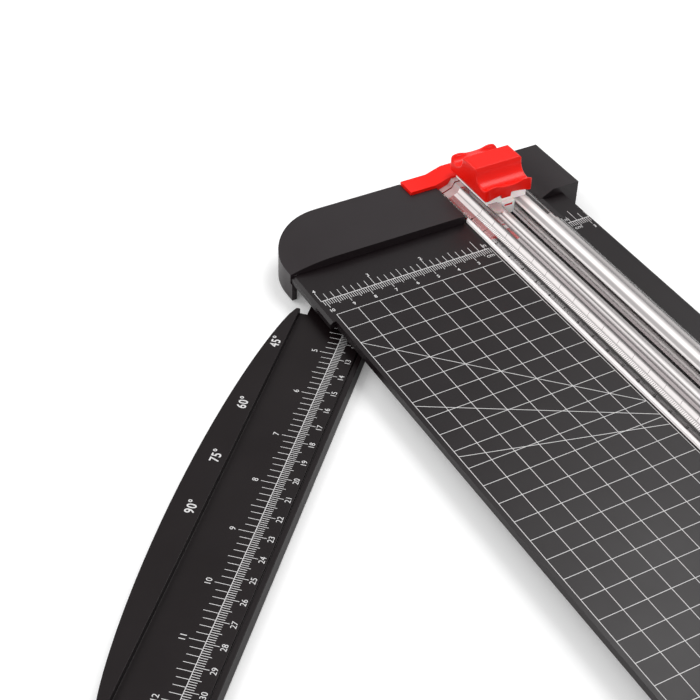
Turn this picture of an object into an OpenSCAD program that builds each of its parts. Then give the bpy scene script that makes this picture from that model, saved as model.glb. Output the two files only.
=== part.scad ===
// Sliding paper trimmer: a ruled deck between two end caps, a clear rail that lifts on a hinge at
// the foot end, a press carriage with a blade that runs in the rail's slot, and a ruler arm that
// swings out from under the deck.
// Origin: on the table, under the cut line, half way along the cutting length.
// X runs across the deck, Y along the cut line to the head cap, Z up.

/* [Deck] */
// Clear cutting length between the end caps
cut_len = 314; // [280:1:420]
// Reach of the deck to the left of the cut line
deck_left = 102.2; // [96:0.1:130]
// Reach of the deck to the right of the cut line
deck_right = 32; // [31:0.5:50]
// Height of the deck's top face above the table
deck_top = 12.2; // [11.8:0.1:16]
// Thickness of the deck plate
deck_t = 3.2; // [2.6:0.1:3.4]
// Extra width of the deck's left edge beside the head cap
shoulder_w = 1.25; // [0.5:0.05:1.4]
// Length of that wider edge
shoulder_len = 34.4; // [20:0.1:50]
// Width of the slope that falls away along the wider edge
shoulder_slope_w = 1.3; // [0.8:0.05:1.5]
// Drop of that slope
shoulder_slope_h = 1; // [0.6:0.1:1.4]
// Reach of the deck under each end cap
tongue_len = 10; // [9:0.5:13]
// Thickness of the ribs under the deck
rib_t = 2; // [1.5:0.1:3]
// Gap between the ribs and the table
rib_lift = 1.2; // [0.8:0.1:2]
// Clear width under the left edge for the folded arm
arm_bay = 40; // [38:0.5:50]
// Number of bays between the cross ribs
rib_bays = 5; // [3:1:8]

/* [Cutting strip] */
// Width of the strip let into the deck under the blade
strip_w = 9; // [7:0.5:11]
// Thickness of the strip
strip_t = 1.8; // [1.5:0.1:2]
// Width of the groove that the blade tip runs in
strip_groove_w = 1; // [0.8:0.05:1.4]
// Depth of that groove
strip_groove_d = 1.2; // [1.1:0.05:1.3]

/* [End caps] */
// Depth of each cap along the cut line
cap_depth = 34.2; // [33:0.1:45]
// Height of the head cap's top above the deck
cap_rise = 3.7; // [3.6:0.1:4.8]
// Height of the foot cap's top above the deck, over the hinge pin
foot_rise = 4.6; // [4.2:0.1:7]
// Wall of the caps
cap_wall = 1.7; // [1.4:0.05:2]
// Thickness of the cap's top
cap_top_t = 2; // [1.6:0.1:2.4]
// Overhang of the caps beyond the deck's left edge
cap_over_left = 3; // [3:0.05:5]
// Overhang of the caps beyond the deck's right edge
cap_over_right = 8.1; // [5:0.1:10]
// Reach of the lip on the head cap's left wall in front of the fence, under the deck's edge
lip_len = 1.5; // [0.5:0.1:1.5]
// Width of that lip
lip_w = 2.3; // [1.7:0.1:2.8]
// Radius of the caps' outer left corner
cap_corner = 30; // [15:0.5:31]
// Distance left of the cut line where the top starts to fall away
crown_start = 83; // [60:1:85]
// Radius of the falling crown
crown_r = 89; // [80:1:260]
// Gap between the caps' skirts and the table
skirt_lift = 0.8; // [0.5:0.1:1.2]
// Half width of the rail recess on the left
recess_left = 20; // [19.7:0.1:22]
// Half width of the rail recess on the right
recess_right = 20.7; // [20.5:0.1:22]
// Width of the ramp that falls to the recess on the right
ramp_w = 5.7; // [4:0.1:7]
// Height of the ramp's foot above the deck
ramp_foot = 0.6; // [0.4:0.1:1.5]
// Length of the guide rib in front of the head cap, beside the rail
guide_len = 17.7; // [10:0.1:25]
// Width of the guide rib
guide_w = 4.1; // [2:0.1:4.2]
// Height of the guide rib
guide_h = 1; // [0.6:0.1:1.2]

/* [Feet] */
// Radius of the rubber feet
foot_r = 6; // [4:0.1:6.5]
// Height of the rubber feet
foot_h = 2; // [1.7:0.1:2.4]
// Wall around a foot
foot_wall = 1.2; // [0.8:0.1:1.5]
// Distance of the left feet from the cut line
foot_left = 88; // [80:0.5:92]
// Distance of the right feet from the cut line
foot_right = 30.5; // [29.5:0.1:31]
// Distance of the end feet behind the cap's front face
foot_back = 20; // [19:0.5:22]
// Spacing of the feet under the cut line
foot_pitch = 105; // [80:1:125]

/* [Rail] */
// Half width of the clear rail
rail_half = 19.2; // [18.6:0.1:19.4]
// Gap between the rail and the deck
rail_gap = 0.3; // [0.25:0.01:0.4]
// Height of the rail's upright outer rim above the deck
rim_top = 1.5; // [1:0.1:1.8]
// Width of the rim's bevel
rim_w = 0.8; // [0.5:0.1:1.2]
// Height above the deck where the printed slope starts
slope_low = 2.4; // [2:0.1:2.8]
// Height above the deck where the printed slope ends
slope_high = 4; // [3.4:0.1:4.6]
// Distance of the printed slope's upper end from the cut line
slope_in = 13.8; // [13.2:0.1:15]
// Half width between the outer edges of the rail's two tops
crown_half = 12.4; // [11:0.1:13]
// Height of the rail's tops above the deck
rail_rise = 6.5; // [6:0.1:7]
// Half width of the slot that the carriage runs in
slot_half = 3.4; // [3:0.1:4]
// Height above the deck of the runner groove's lower edge
groove_low = 2.4; // [2:0.1:2.6]
// Height of the runner groove
groove_h = 2; // [1.8:0.1:2.2]
// Depth of the runner groove in the slot's walls
groove_d = 1.8; // [1.4:0.1:2]
// Wall of the rail over its hollow underside
rail_wall = 1.9; // [1.6:0.1:2.2]
// Distance of the rail's head end from the cap's front face
rail_in = 24.3; // [23.5:0.1:25]
// Length of the stops that close the slot between the rail's two bars
stop_len = 2.8; // [2:0.1:3]
// Distance of the rail's foot end behind the foot cap's front face
rail_foot_in = 3; // [2.5:0.1:6]
// Width of the cross cut near the rail's head end
cross_cut_w = 0.8; // [0.5:0.05:1]
// Depth of that cut
cross_cut_d = 1; // [0.5:0.05:1.2]

/* [Lift end] */
// Rise of the red lift end over the rail's outline
lift_rise = 1; // [0.5:0.05:1]
// Reach of the lift tab to the left of the cut line
tab_reach = 32.8; // [28:0.1:36]
// Height of the lift tab's top above the deck
tab_top = 5.1; // [5:0.1:6]
// Depth of the finger hollow under the lift tab
tab_hollow = 3; // [2:0.1:3.4]
// Reach of the plugs into the rail's hollows
plug_len = 8; // [6:0.5:10]
// Fit of the plugs in the rail's hollows
plug_gap = 0.15; // [0.1:0.01:0.25]
// Reach of the leg under the rail's printed slope
leg_len = 42; // [30:0.5:48]
// Thickness of that leg
leg_t = 1; // [0.8:0.05:1]
// Width of that leg
leg_w = 3.7; // [3:0.1:3.8]

/* [Hinge] */
// Radius of the hinge pin
pin_r = 1.25; // [1:0.05:1.3]
// Height of the pin above the deck
pin_rise = 2.6; // [2.5:0.05:2.8]
// Distance of the pin behind the foot cap's front face
pin_in = 21; // [20:0.5:26]
// Reach of the pin into each cheek
pin_grip = 4; // [3:0.1:6]
// Running clearance round pins and posts
run_gap = 0.05; // [0.02:0.01:0.08]
// Radius of the hinge block round the pin
knuckle_r = 2.2; // [2:0.05:2.25]

/* [Carriage] */
// Half width of the press cap
press_half = 11.9; // [11.5:0.1:13]
// Length of the press cap
press_len = 30.8; // [29:0.1:33]
// Height of the press cap's lower edge above the deck
press_low = 10; // [9.9:0.1:11]
// Height of the press cap's hump above the deck
press_high = 21.5; // [21:0.1:24]
// Height of the rims at its two ends above the deck
press_rim = 17.5; // [16.6:0.1:18]
// Wall of the press cap
press_wall = 1.6; // [1.2:0.1:1.8]
// Travel of the press cap and blade
press_travel = 2.2; // [1.8:0.05:2.2]
// Radius of the finger grooves
finger_r = 6; // [5:0.1:6.5]
// Height of the finger grooves' centre above the deck
finger_rise = 20.6; // [20.4:0.1:21.5]
// Distance of the finger grooves' centre from each end
finger_in = 4.2; // [3.8:0.1:4.5]
// Height of the arch in the end walls
arch_h = 2.2; // [1.5:0.1:2.5]
// Left edge of the tongue that hangs in the front arch, left of the cut line
tongue_left = 3.8; // [3:0.1:5]
// Right edge of that tongue, right of the cut line
tongue_right = 0.7; // [0:0.1:3]
// Radius of the press cap's upright corners
press_corner = 1.5; // [0.5:0.1:1.6]
// Distance that the parked press cap stands in front of the head cap's face
park_out = 3.5; // [1:0.1:4]
// Side and height clearance of the slider
slide_gap = 0.3; // [0.2:0.01:0.35]
// Thickness of the slider's plate on the rail's tops
shoe_t = 1.6; // [1.2:0.1:1.8]
// Reach of the slider's left shoe in front of the press cap
shoe_reach = 5.6; // [3:0.1:8]
// Width of that shoe
shoe_w = 4.6; // [3:0.1:5]
// Thickness of that shoe
shoe_lip = 0.8; // [0.6:0.1:1]
// Height of the slider's guide tower over its plate
tower_h = 4.2; // [3:0.1:4.6]
// Reach of the runner's nose in front of the slider's plate
nose_len = 2; // [1:0.1:2.2]
// Half width of the cut mark in the nose
mark_half = 2; // [1.5:0.1:2.3]
// Depth of the cut mark's middle below the rail's tops
mark_drop = 0.6; // [0.4:0.1:1.5]

/* [Blade] */
// Thickness of the blade
blade_t = 0.5; // [0.3:0.05:0.6]
// Width of the blade at its root
blade_w = 6; // [4:0.1:6.4]
// Height of the resting blade's tip above the deck
blade_rest = 1.2; // [1:0.05:1.3]
// Thickness of the blade holder's stem
stem_t = 2.6; // [2.4:0.1:2.8]
// Width of the blade holder's stem
stem_w = 7.2; // [6.8:0.1:7.4]
// Height above the deck of the stem's lower end
stem_low = 3.4; // [3.3:0.1:3.6]
// Height of the holder's head under the press cap
holder_head_h = 3.4; // [3:0.1:4]
// Height of the stop foot on the stem
stop_h = 0.9; // [0.6:0.1:1]
// Radius of the pin through the blade
blade_pin_r = 0.6; // [0.5:0.05:0.7]
// Outer radius of the press springs
spring_r = 2.2; // [1.8:0.1:2.3]
// Wire thickness of the press springs
spring_wire = 0.5; // [0.4:0.05:0.6]
// Distance of the press springs from the cut line
spring_out = 4.8; // [4.6:0.1:5]
// Radius of the holder screws' shanks
holder_screw_r = 0.8; // [0.6:0.05:0.9]
// Radius of the holder screws' heads
holder_screw_head_r = 1.4; // [1.2:0.05:1.5]

/* [Ruler arm] */
// Distance of the arm's pivot to the left of the cut line
pivot_left = 90; // [86:0.1:92]
// Distance of the pivot in front of the head cap's face
pivot_front = 11.4; // [9:0.1:14]
// Angle of the arm out of its folded place, as it stands
arm_open = 44.25; // [0:0.25:90]
// Height of the arm's top above the table
arm_top = 5.2; // [4.8:0.1:5.4]
// Gap between the arm and the table
arm_lift = 0.7; // [0.5:0.1:1]
// Length of the arm from its pivot
arm_len = 237; // [220:1:255]
// Width of the arm on the outer side of the pivot
arm_out = 10.5; // [9:0.1:11]
// Width of the arm's flat top on the inner side of the pivot
arm_in = 18.5; // [15:0.1:20]
// Width of the groove beside that flat top
arm_groove_w = 0.5; // [0.3:0.05:0.8]
// Depth of that groove
arm_groove_d = 0.7; // [0.4:0.1:1]
// Width of the ledge along the inner edge
ledge_w = 2; // [1:0.1:3]
// Drop of that ledge below the flat top
ledge_drop = 0.2; // [0.1:0.05:0.4]
// Width of the slope below the ledge
arm_side_w = 0.8; // [0.4:0.1:1.5]
// Distance from the pivot where the neck ends
neck_len = 15.8; // [15.6:0.1:20]
// Radius of the neck round the pivot
neck_r = 7.6; // [7:0.1:7.8]
// Rise of the outer grip over the arm's top
grip_rise = 2.5; // [1.5:0.1:2.6]
// Bulge of the grip beyond the arm's outer edge
grip_bulge = 12.2; // [8:0.1:15]
// Bulge of the grip at its two blunt ends
grip_tip = 1.6; // [1.2:0.1:3]
// Length of the grip
grip_len = 213.9; // [150:0.1:218]
// Fullness of the grip's curve: 0.5 is an ellipse, 1 a parabola
grip_fullness = 0.73; // [0.5:0.01:1]
// Thickness of the arm's top over its hollow underside
arm_skin = 2.2; // [1.8:0.1:2.6]
// Wall round the arm's hollow underside
arm_wall = 2; // [1.5:0.1:3]
// Radius of the pivot screw's shoulder
post_r = 3; // [2.6:0.05:3.2]
// Radius of the pivot screw's head
post_head_r = 5.4; // [4.8:0.1:5.6]
// Height of the pivot screw's head
post_head_h = 0.8; // [0.6:0.05:0.9]
// Thickness of the friction washer
washer_t = 0.5; // [0.4:0.05:0.6]
// Radius of the boss over the pivot
boss_r = 6; // [5.5:0.1:7]
// Gap between faces that rub as the arm swings
rub_gap = 0.15; // [0.1:0.01:0.25]

/* [Fasteners] */
// Radius of the cap screws' shanks
screw_r = 1.5; // [1.2:0.05:1.6]
// Radius of the cap screws' heads
screw_head_r = 2.8; // [2.4:0.1:3]
// Height of the cap screws' heads
screw_head_h = 1.6; // [1.2:0.1:2]
// Length of the cap screws under the head
screw_len = 5.2; // [4.6:0.1:5.4]
// Distance of the outer cap screw to the left of the cut line
screw_far = 78; // [74:0.5:80]
// Distance of the middle cap screw to the left of the cut line
screw_mid = 40; // [38:0.5:50]
// Distance of the cap screws behind the cap's front face
screw_in = 6; // [5.5:0.1:6.5]
// Wall of the screw bosses
screw_wall = 1.6; // [1.2:0.1:2]
// Radius of the rail screws' shanks
rail_screw_r = 1; // [0.8:0.05:1.2]
// Fit of screw shanks in their holes
screw_gap = 0.05; // [0.03:0.01:0.1]

/* [Hidden] */
$fn = 64;
// Reach of a cut past the face it opens
through = 1;
// Overlap of joined solids
small = 0.01;
// Gap between pieces that are seated on each other's sides
seat_gap = 0.2;
// Gap round the lift end in the head cap's notch
notch_gap = 0.3;
// Gap round the blade holder's stem in the slider
stem_gap = 0.3;
// Number of straight steps on each half of the grip's curve
grip_steps = 24;

cap_front = cut_len / 2;
cap_back = cap_front + cap_depth;
cap_top = deck_top + cap_rise;
foot_top = deck_top + foot_rise;
cap_left = deck_left + cap_over_left;
cap_right = deck_right + cap_over_right;
cap_corner_r = min(cap_corner, cap_depth - cap_wall - small);
ramp_top_x = recess_right + ramp_w;
deck_low = deck_top - deck_t;
floor_left = recess_left + cap_wall;
floor_back = cap_back - cap_wall - seat_gap;
rib_start = -deck_left + arm_bay;

rail_low = deck_top + rail_gap;
rail_top = deck_top + rail_rise;
rail_head = cap_front + rail_in;
rail_foot = -cap_front - rail_foot_in;
hollow_in = slot_half + groove_d + rail_wall;
hollow_out = rail_half - rim_w - rail_wall - rim_w;
slot_head = rail_head - stop_len;
slot_foot = rail_foot + stop_len;
head_screw_y = rail_head - plug_len * 2 / 3;
foot_screw_y = rail_foot + plug_len * 2 / 3;
rail_left_cut = rail_half - rim_w;
rail_right_cut = recess_right - seat_gap - guide_w - notch_gap;
guide_front = cap_front - guide_len;
rail_screw_x = (hollow_in + crown_half - rail_wall / 2) / 2;
rail_screw_top = rail_top - rail_wall / 3;

lift_front = rail_head + seat_gap;
lift_back = cap_back - seat_gap;
leg_out = rail_left_cut - rim_w + plug_gap;
leg_front = rail_head - leg_len;

pin_y = -cap_front - pin_in;
pin_z = deck_top + pin_rise;

press_front = cap_front - park_out;
press_back = press_front + press_len;
press_mid = press_front + press_len / 2;
hump_len = press_len - 2 * finger_in - 2 * finger_r;
press_roof = deck_top + finger_rise - finger_r - press_wall;
hump_roof = deck_top + press_high - press_wall;
shoe_low = rail_top + slide_gap;
shoe_top = shoe_low + shoe_t;
runner_half = slot_half - slide_gap;
runner_low = deck_top + blade_rest;
runner_back = slot_head - slide_gap - small;
flange_half = slot_half + groove_d - slide_gap;
flange_low = deck_top + groove_low + slide_gap;
flange_h = groove_h - 2 * slide_gap;
plate_half = press_half - press_wall - slide_gap;
plate_front = press_front + press_wall + slide_gap;
plate_back = rail_head - slide_gap;
runner_front = plate_front - nose_len;
nose_top = deck_top + press_low - press_travel - slide_gap;
holder_screw_x = plate_half - holder_screw_head_r - seat_gap;
holder_screw_top = hump_roof + press_wall / 2;
tower_len = hump_len - 2 * press_wall + 2 * slide_gap;
hump_cavity = tower_len + 2 * slide_gap;
head_low = hump_roof - holder_head_h;
stop_top = rail_top - stem_gap;
stop_half = stem_t / 2 + shoe_lip;
blade_top = deck_top + stem_low + stop_h + stop_h;

pivot_y = cap_front - pivot_front;
arm_angle = 270 - arm_open;
lip_run = min(lip_len, pivot_front - neck_r - 2 * rub_gap);
ledge_in = arm_in + arm_groove_w;
ledge_out = ledge_in + ledge_w;
ledge_top = arm_top - ledge_drop;
grip_run = min(grip_len, arm_len - neck_len);
counter_top = arm_lift + post_head_h + washer_t + rub_gap;
boss_low = arm_top + rub_gap;
post_top = boss_low + screw_len / 2;

cap_screw_x = [-screw_far, -screw_mid, deck_right - screw_head_r - seat_gap];

// Box between two opposite corners
module box(low, high) {
    translate(low) cube(high - low);
}

// Outline in the XZ plane carried along Y from front to back
module along_y(front, back) {
    translate([0, back, 0]) rotate([90, 0, 0]) linear_extrude(back - front) children();
}

// Upright cylinder between two heights
module post(x, y, low, high, r) {
    translate([x, y, low]) cylinder(r = r, h = high - low);
}

// Round bar along X between two sides
module bar(left, right, y, z, r) {
    translate([left, y, z]) rotate([0, 90, 0]) cylinder(r = r, h = right - left);
}

// Places of the rubber feet under the cut line
function middle_feet() = [for (y = [-foot_pitch, 0, foot_pitch]) [0, y]];

// Places of the rubber feet under the caps, at the head end
function end_feet() = [[-foot_left, cap_front + foot_back], [foot_right, cap_front + foot_back]];

// Ribbed deck plate with the strip's channel, the tongues under the caps and the pivot boss
module deck() {
    color([0.16, 0.155, 0.155])
    difference() {
        union() {
            box([-deck_left, -cap_front, deck_low], [deck_right, cap_front, deck_top]);
            deck_shoulder();
            for (side = [1, -1]) at_end(side) deck_end();
            deck_ribs();
            for (p = middle_feet()) post(p[0], p[1], skirt_lift, deck_low + small, foot_r + foot_wall);
            post(-pivot_left, pivot_y, boss_low, deck_low + small, boss_r);
        }
        box([-strip_w / 2, -floor_back - through, deck_top - strip_t],
            [strip_w / 2, floor_back + through, deck_top + through]);
        for (p = middle_feet()) post(p[0], p[1], -through, foot_h, foot_r);
        for (side = [1, -1]) for (x = cap_screw_x)
            post(x, side * (cap_front + screw_in), deck_low - through, deck_top + through,
                 screw_r + screw_gap);
        post(-pivot_left, pivot_y, boss_low - through, post_top + seat_gap, screw_r + screw_gap);
    }
}

// The children at the head end or, turned over, at the foot end
module at_end(side) {
    if (side > 0) children();
    else mirror([0, 1, 0]) children();
}

// Tongue under one cap and the floor of its rail recess
module deck_end() {
    box([-deck_left + cap_over_left, cap_front - small, deck_low],
        [deck_right, cap_front + tongue_len, deck_top]);
    box([-floor_left, cap_front - small, deck_low], [recess_right + cap_wall, floor_back, deck_top]);
}

// Wider left edge in front of the head cap, its top falling away outwards
module deck_shoulder() {
    edge = -deck_left - shoulder_w;
    along_y(cap_front - shoulder_len, cap_front - run_gap)
        polygon([[-deck_left + small, deck_low], [-deck_left + small, deck_top], [edge, deck_top],
                 [edge - shoulder_slope_w, deck_top - shoulder_slope_h],
                 [edge - shoulder_slope_w, deck_low]]);
}

// Long ribs beside the channel and along the edges, with cross ribs between them
module deck_ribs() {
    low = rib_lift;
    channel = strip_w / 2 + 2 * rib_t;
    for (x = [rib_start, -channel - rib_t, channel, deck_right - rib_t])
        box([x, -cap_front, low], [x + rib_t, cap_front, deck_low + small]);
    for (i = [0 : rib_bays]) {
        y = -cap_front + (cut_len - rib_t) * i / rib_bays;
        box([rib_start, y, low], [deck_right, y + rib_t, deck_low + small]);
    }
}

// Plastic strip under the blade, with its groove
module cutting_strip() {
    color([0.08, 0.08, 0.08])
    difference() {
        box([-strip_w / 2, -floor_back, deck_top - strip_t], [strip_w / 2, floor_back, deck_top]);
        box([-strip_groove_w / 2, -floor_back - through, deck_top - strip_groove_d],
            [strip_groove_w / 2, floor_back + through, deck_top + through]);
    }
}

// Cap outline seen from above, drawn in by an inset
module cap_plan(inset) {
    low = cap_front + inset;
    middle = -cap_left + cap_corner_r;
    translate([-cap_left + inset, low])
        square([cap_left + cap_right - 2 * inset, cap_back - cap_corner_r - low]);
    translate([middle, low]) square([cap_right - inset - middle, cap_back - inset - low]);
    intersection() {
        translate([middle, cap_back - cap_corner_r]) circle(r = cap_corner_r - inset);
        translate([-cap_left, low]) square([cap_left + cap_right, cap_depth]);
    }
}

// Cap outline seen from the front: flat at its top, then falling away to the left
module cap_crown(top, drop) {
    translate([-crown_start, 0]) square([crown_start + cap_right, top - drop]);
    intersection() {
        translate([-crown_start, top - crown_r]) circle(r = crown_r - drop, $fn = 180);
        translate([-cap_left, 0]) square([cap_left - crown_start + small, top]);
    }
}

// Solid under the outside of a cap of that top (inset 0, drop 0) or in its hollow
module cap_block(top, inset, drop, low) {
    intersection() {
        translate([0, 0, low]) linear_extrude(top) cap_plan(inset);
        along_y(cap_front - through, cap_back + through) cap_crown(top, drop);
    }
}

// Shell of one cap at the head end, up to its top: ramp says whether the recess has a ramp on its right
module cap_shell(top, ramp) {
    right_wall = ramp ? ramp_top_x : recess_right + pin_grip + cap_wall;
    left_wall = ramp ? floor_left : recess_left + pin_grip + cap_wall;
    difference() {
        union() {
            difference() {
                cap_block(top, 0, 0, skirt_lift);
                intersection() {
                    cap_block(top, cap_wall, cap_top_t, -through);
                    union() {
                        box([-cap_left, cap_front, -through], [-left_wall, cap_back, top]);
                        box([right_wall, cap_front, -through], [cap_right, cap_back, top]);
                    }
                }
                box([-left_wall - small, cap_front - through, -through],
                    [right_wall + small, cap_back - cap_wall, deck_top]);
                box([-cap_left + cap_wall, cap_front - through, -through],
                    [deck_right + seat_gap, cap_front + cap_wall + small, deck_top]);
            }
            intersection() {
                cap_block(top, 0, 0, skirt_lift);
                union() {
                    for (p = end_feet()) post(p[0], p[1], skirt_lift, top, foot_r + foot_wall);
                    for (x = cap_screw_x)
                        post(x, cap_front + screw_in, deck_top, top, screw_r + screw_wall);
                }
            }
        }
        box([-recess_left, cap_front - through, deck_top],
            [recess_right, cap_back + through, top + through]);
        for (p = end_feet()) post(p[0], p[1], -through, foot_h, foot_r);
        for (x = cap_screw_x)
            post(x, cap_front + screw_in, deck_top - through, deck_low + screw_len + seat_gap,
                 screw_r + screw_gap);
    }
}

// Head cap: the fence and its lip, the ramped recess, the guide rib beside the rail and the lift tab's notch
module head_cap() {
    notch_left = tab_reach + notch_gap;
    notch_front = lift_front - notch_gap;
    slope = (cap_rise - ramp_foot) / ramp_w;
    color([0.2, 0.19, 0.19])
    difference() {
        union() {
            cap_shell(cap_top, true);
            intersection() {
                cap_block(cap_top, 0, 0, skirt_lift);
                union() {
                    box([-notch_left - cap_wall, notch_front - cap_wall, deck_top],
                        [-recess_left, cap_back, cap_top]);
                    box([-notch_left - cap_wall, notch_front - cap_wall, deck_top - cap_wall],
                        [-floor_left - seat_gap, cap_back, deck_top + small]);
                }
            }
            box([-cap_left, cap_front - lip_run, skirt_lift],
                [-cap_left + lip_w, cap_front + small, deck_low - seat_gap]);
            box([recess_right - guide_w - seat_gap - small, guide_front, deck_top + small],
                [recess_right - seat_gap, cap_front + small, deck_top + guide_h]);
            box([recess_right - guide_w - seat_gap - small, cap_front, deck_top + small],
                [recess_right + small, cap_back - cap_wall, deck_top + guide_h]);
        }
        along_y(cap_front - through, cap_back + through)
            polygon([[recess_right - ramp_w, deck_top + ramp_foot - slope * ramp_w],
                     [ramp_top_x + ramp_w, deck_top + ramp_foot + 2 * slope * ramp_w],
                     [recess_right - ramp_w, deck_top + ramp_foot + 2 * slope * ramp_w]]
            );
        box([-notch_left, notch_front, deck_top],
            [-recess_left + through, cap_back + through, cap_top + through]);
    }
}

// Foot cap: a plain recess with cheeks that hold the hinge pin
module foot_cap() {
    color([0.2, 0.19, 0.19])
    difference() {
        mirror([0, 1, 0]) cap_shell(foot_top, false);
        bar(-recess_left - pin_grip, recess_right + pin_grip, pin_y, pin_z, pin_r + run_gap);
    }
}

// Screws of one cap, up through the deck's tongue
module cap_screws() {
    for (x = cap_screw_x) {
        post(x, cap_front + screw_in, deck_low - screw_head_h, deck_low, screw_head_r);
        post(x, cap_front + screw_in, deck_low - small, deck_low + screw_len, screw_r);
    }
}

module head_cap_screws() {
    color("silver") cap_screws();
}

module foot_cap_screws() {
    color("silver") mirror([0, 1, 0]) cap_screws();
}

// Rubber feet under the caps and under the cut line
module rubber_feet() {
    color([0.05, 0.05, 0.05]) {
        for (side = [1, -1]) at_end(side)
            for (p = end_feet()) post(p[0], p[1], 0, foot_h, foot_r - seat_gap / 2);
        for (p = middle_feet()) post(p[0], p[1], 0, foot_h, foot_r - seat_gap / 2);
    }
}

// Outline of the rail's left half down to the deck, lifted by an offset and closed at an inner edge
module rail_outline(lift, inner, outer) {
    polygon([
        [-inner, rail_low], [-inner, rail_top + lift], [-crown_half, rail_top + lift],
        [-slope_in, deck_top + slope_high + lift], [-rail_half + rim_w, deck_top + slope_low + lift],
        [-outer, deck_top + rim_top + lift], [-outer, rail_low]
    ]);
}

// Outline of the hollow under the rail's left half, drawn in by a fit
module rail_hollow(fit) {
    rise = (slope_high - slope_low) / (rail_half - rim_w - slope_in);
    shoulder = crown_half - rail_wall / 2;
    polygon([
        [-hollow_in - fit, rail_low - through * (1 - sign(fit))],
        [-hollow_in - fit, rail_top - rail_wall - fit],
        [-shoulder + fit, rail_top - rail_wall - fit],
        [-slope_in + fit, deck_top + slope_high - rail_wall - fit],
        [-hollow_out + fit, deck_top + slope_high - rail_wall - fit - rise * (hollow_out - slope_in)],
        [-hollow_out + fit, rail_low - through * (1 - sign(fit))]
    ]);
}

// Runner groove in the wall of the slot, left half
module rail_groove() {
    translate([-slot_half - groove_d, deck_top + groove_low]) square([groove_d + through, groove_h]);
}

// Both halves of an outline
module both_halves() {
    children();
    mirror([1, 0]) children();
}

// Clear bar on the left of the cut line: hollow below, with the runner groove in its inner wall
module rail_bar() {
    difference() {
        along_y(rail_foot, rail_head) rail_outline(0, slot_half, rail_half);
        along_y(rail_foot - through, rail_head + through) {
            rail_hollow(0);
            rail_groove();
        }
        along_y(slot_head - cross_cut_w, slot_head) difference() {
            rail_outline(through, slot_half, rail_half);
            rail_outline(-cross_cut_d, slot_half - small, rail_half + small);
        }
        for (y = [head_screw_y, foot_screw_y])
            post(-rail_screw_x, y, rail_low, rail_screw_top, rail_screw_r + screw_gap);
    }
}

// Leg of the lift end under the printed slope, grown by a fit
module lift_leg(fit) {
    box([-leg_out - fit, leg_front - 2 * fit, rail_low],
        [-leg_out + leg_w, lift_front + small, rail_low + leg_t + fit]);
}

// Left bar of the rail, its rim cut back beside both caps, with the pocket for the lift end's leg
module rail_left() {
    color([0.9, 0.92, 0.95, 0.45])
    difference() {
        rail_bar();
        translate([0, 0, -small]) lift_leg(plug_gap);
        box([-rail_half - through, cap_front - seat_gap, rail_low - through],
            [-rail_left_cut, rail_head + through, rail_top]);
        box([-rail_half - through, rail_foot - through, rail_low - through],
            [-rail_left_cut, -cap_front + seat_gap, rail_top]);
    }
}

// Right bar of the rail, its rim cut back beside the head cap's guide rib
module rail_right() {
    color([0.9, 0.92, 0.95, 0.45])
    difference() {
        mirror([1, 0, 0]) rail_bar();
        box([rail_right_cut, guide_front - notch_gap, rail_low - through],
            [rail_half + through, rail_head + through, rail_top]);
    }
}

// Stop between the two bars that closes the slot at one end
module slot_stop(front, back) {
    box([-slot_half + plug_gap, front, rail_low], [slot_half - plug_gap, back, rail_top]);
}

// Plugs that fill the rail's hollows at one end, with the screw holes
module rail_plugs(front, back, screw_y) {
    difference() {
        along_y(front, back) both_halves() rail_hollow(plug_gap);
        for (x = [-rail_screw_x, rail_screw_x]) {
            post(x, screw_y, rail_low - through, rail_top, rail_screw_r + screw_gap);
            post(x, screw_y, rail_low - through, rail_low + rail_screw_r, 2 * rail_screw_r + screw_gap);
        }
    }
}

// Red end of the rail with its lift tab and finger hollow
module lift_end() {
    tab_low = deck_top + 2 * notch_gap;
    tab_high = deck_top + tab_top;
    crown = rail_top + lift_rise;
    color([0.9, 0.13, 0.1])
    difference() {
        union() {
            along_y(lift_front, lift_back)
                polygon([[-tab_reach, tab_low], [-tab_reach, tab_high], [-rail_half - rim_w, tab_high],
                         [-crown_half, crown], [crown_half, crown],
                         [rail_right_cut, deck_top + slope_high + lift_rise], [rail_right_cut, rail_low],
                         [-rail_left_cut, rail_low], [-rail_left_cut, tab_low]]);
            rail_plugs(rail_head - plug_len, lift_front + small, head_screw_y);
            lift_leg(0);
            slot_stop(slot_head, lift_front + small);
        }
        box([-tab_reach + cap_wall, lift_front + cap_wall, tab_low - through],
            [-rail_half, lift_back + through, tab_low + tab_hollow]);
    }
}

// Hinge block on the rail's foot end, with the knuckle round the pin
module hinge_block() {
    color([0.16, 0.155, 0.155])
    difference() {
        union() {
            along_y(pin_y, rail_foot - seat_gap) both_halves() rail_outline(0, 0, rail_left_cut);
            bar(-rail_left_cut, rail_left_cut, pin_y, pin_z, knuckle_r);
            rail_plugs(rail_foot - seat_gap - small, rail_foot + plug_len, foot_screw_y);
            slot_stop(rail_foot - seat_gap - small, slot_foot);
        }
        bar(-rail_half, rail_half, pin_y, pin_z, pin_r + run_gap);
        box([-rail_half, pin_y - small, pin_z + knuckle_r],
            [rail_half, pin_y + knuckle_r, rail_top + through]);
    }
}

// Steel hinge pin across the foot cap's recess
module hinge_pin() {
    color("silver") bar(-recess_left - pin_grip, recess_right + pin_grip, pin_y, pin_z, pin_r);
}

// Two small screws that hold a plug in the rail
module rail_screws(y) {
    color("silver") for (x = [-rail_screw_x, rail_screw_x]) {
        post(x, y, rail_low, rail_low + rail_screw_r, 2 * rail_screw_r);
        post(x, y, rail_low, rail_screw_top, rail_screw_r);
    }
}

module lift_end_screws() {
    rail_screws(head_screw_y);
}

module hinge_block_screws() {
    rail_screws(foot_screw_y);
}

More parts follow.
